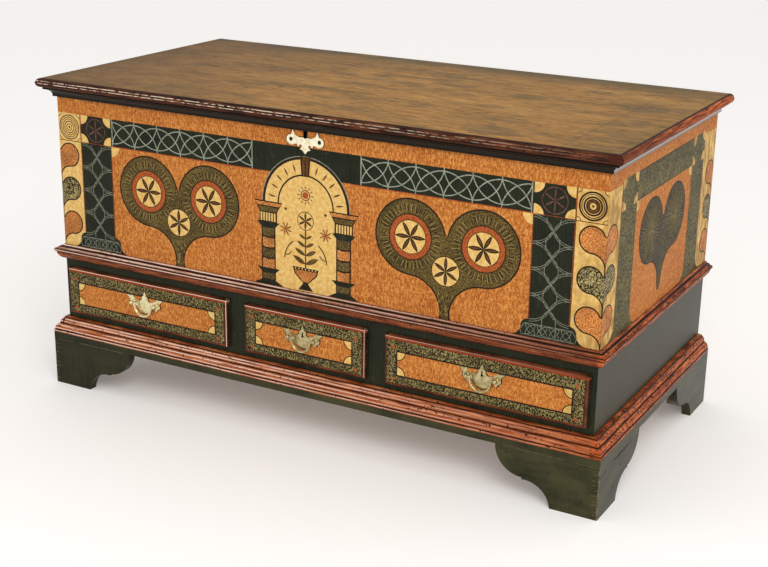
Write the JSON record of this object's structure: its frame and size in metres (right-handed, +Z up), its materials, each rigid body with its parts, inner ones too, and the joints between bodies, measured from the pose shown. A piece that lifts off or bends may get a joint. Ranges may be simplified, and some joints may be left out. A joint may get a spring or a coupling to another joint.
{
  "type": "mule chest",
  "caption": "Painted mule chest on bracket feet: a dovetailed, lidded chest with a till over a row of lipped drawers with brass bail pulls.",
  "frame": {"origin": "on the floor, at the centre of the whole object's footprint", "axes": "+Z up; the front with its drawers faces -Y; the right end faces +X"},
  "size_m": [1.334, 0.687, 0.7043],
  "materials": {
    "grained_front": "combed orange and dark green paint over pine, satin",
    "raw_pine": "bare planed pine, aged",
    "dark_green_paint": "near-black green paint, worn",
    "red_brown_paint": "red-brown paint, glossy on the noses",
    "worn_lid_paint": "worn tan and brown paint",
    "drawer_paint": "orange combed field, stippled olive border",
    "drawer_wood": "bare planed pine",
    "wrought_iron": "hammered black iron",
    "brass": "pale worn brass"
  },
  "bodies": {
    "case": {"front_board": "grained_front", "back_board": "raw_pine", "left_end_board": "grained_front", "right_end_board": "grained_front", "chest_floor": "raw_pine", "bottom_board": "raw_pine", "drawer_top_rail": "dark_green_paint", "drawer_bottom_rail": "dark_green_paint", "drawer_dividers": "dark_green_paint", "drawer_runners": "raw_pine", "drawer_guides": "raw_pine", "waist_moulding_front": "red_brown_paint", "waist_moulding_sides": "red_brown_paint", "base_moulding_front": "red_brown_paint", "base_moulding_sides": "red_brown_paint", "base_frame_front": "dark_green_paint", "base_frame_sides": "dark_green_paint", "base_frame_back": "raw_pine", "front_left_foot": "dark_green_paint", "front_right_foot": "dark_green_paint", "rear_left_foot": "dark_green_paint", "rear_right_foot": "dark_green_paint", "foot_blocks": "raw_pine", "till_front": "raw_pine", "till_bottom": "raw_pine", "chest_lock_case": "wrought_iron", "chest_escutcheon": "brass", "case_hinge_leaves": "wrought_iron"},
    "lid": {"lid_board": "worn_lid_paint", "lid_moulding_front": "red_brown_paint", "lid_moulding_sides": "red_brown_paint", "lid_hinge_straps": "wrought_iron", "lid_lock_catch": "wrought_iron"},
    "till_lid": {"till_lid": "raw_pine"},
    "chest_lock_bolt": {"chest_lock_bolt": "wrought_iron"},
    "left_drawer": {"left_drawer_front": "drawer_paint", "left_drawer_sides": "drawer_wood", "left_drawer_back": "drawer_wood", "left_drawer_bottom": "drawer_wood", "left_pull_plate": "brass", "left_pull_posts": "brass"},
    "left_bail": {"left_bail": "brass"},
    "centre_drawer": {"centre_drawer_front": "drawer_paint", "centre_drawer_sides": "drawer_wood", "centre_drawer_back": "drawer_wood", "centre_drawer_bottom": "drawer_wood", "centre_pull_plate": "brass", "centre_pull_posts": "brass", "centre_lock_case": "wrought_iron"},
    "centre_bail": {"centre_bail": "brass"},
    "right_drawer": {"right_drawer_front": "drawer_paint", "right_drawer_sides": "drawer_wood", "right_drawer_back": "drawer_wood", "right_drawer_bottom": "drawer_wood", "right_pull_plate": "brass", "right_pull_posts": "brass", "right_lock_case": "wrought_iron"},
    "right_bail": {"right_bail": "brass"},
    "centre_lock_bolt": {"centre_lock_bolt": "wrought_iron"},
    "right_lock_bolt": {"right_lock_bolt": "wrought_iron"}
  },
  "joints": [
    {"name": "lid_hinge", "type": "hinge", "parent": "case", "child": "lid", "pos_m": [0, 0.3365, 0.6823], "axis": [-1, 0, 0], "range_deg": [0, 100]},
    {"name": "till_lid_hinge", "type": "hinge", "parent": "case", "child": "till_lid", "pos_m": [-0.608, 0.0085, 0.536], "axis": [0, -1, 0], "range_deg": [0, 90]},
    {"name": "chest_lock_bolt_slide", "type": "slide", "parent": "case", "child": "chest_lock_bolt", "axis": [1, 0, 0], "range_m": [0, 0.014]},
    {"name": "left_drawer_slide", "type": "slide", "parent": "case", "child": "left_drawer", "axis": [0, -1, 0], "range_m": [0, 0.42]},
    {"name": "left_bail_hinge", "type": "hinge", "parent": "left_drawer", "child": "left_bail", "pos_m": [-0.4065, -0.3324, 0.2325], "axis": [-1, 0, 0], "range_deg": [-8, 95]},
    {"name": "centre_drawer_slide", "type": "slide", "parent": "case", "child": "centre_drawer", "axis": [0, -1, 0], "range_m": [0, 0.42]},
    {"name": "centre_bail_hinge", "type": "hinge", "parent": "centre_drawer", "child": "centre_bail", "pos_m": [0, -0.3324, 0.2325], "axis": [-1, 0, 0], "range_deg": [-8, 95]},
    {"name": "right_drawer_slide", "type": "slide", "parent": "case", "child": "right_drawer", "axis": [0, -1, 0], "range_m": [0, 0.42]},
    {"name": "right_bail_hinge", "type": "hinge", "parent": "right_drawer", "child": "right_bail", "pos_m": [0.4065, -0.3324, 0.2325], "axis": [-1, 0, 0], "range_deg": [-8, 95]},
    {"name": "centre_lock_bolt_slide", "type": "slide", "parent": "centre_drawer", "child": "centre_lock_bolt", "axis": [0, 0, 1], "range_m": [0, 0.008]},
    {"name": "right_lock_bolt_slide", "type": "slide", "parent": "right_drawer", "child": "right_lock_bolt", "axis": [0, 0, 1], "range_m": [0, 0.008]}
  ]
}
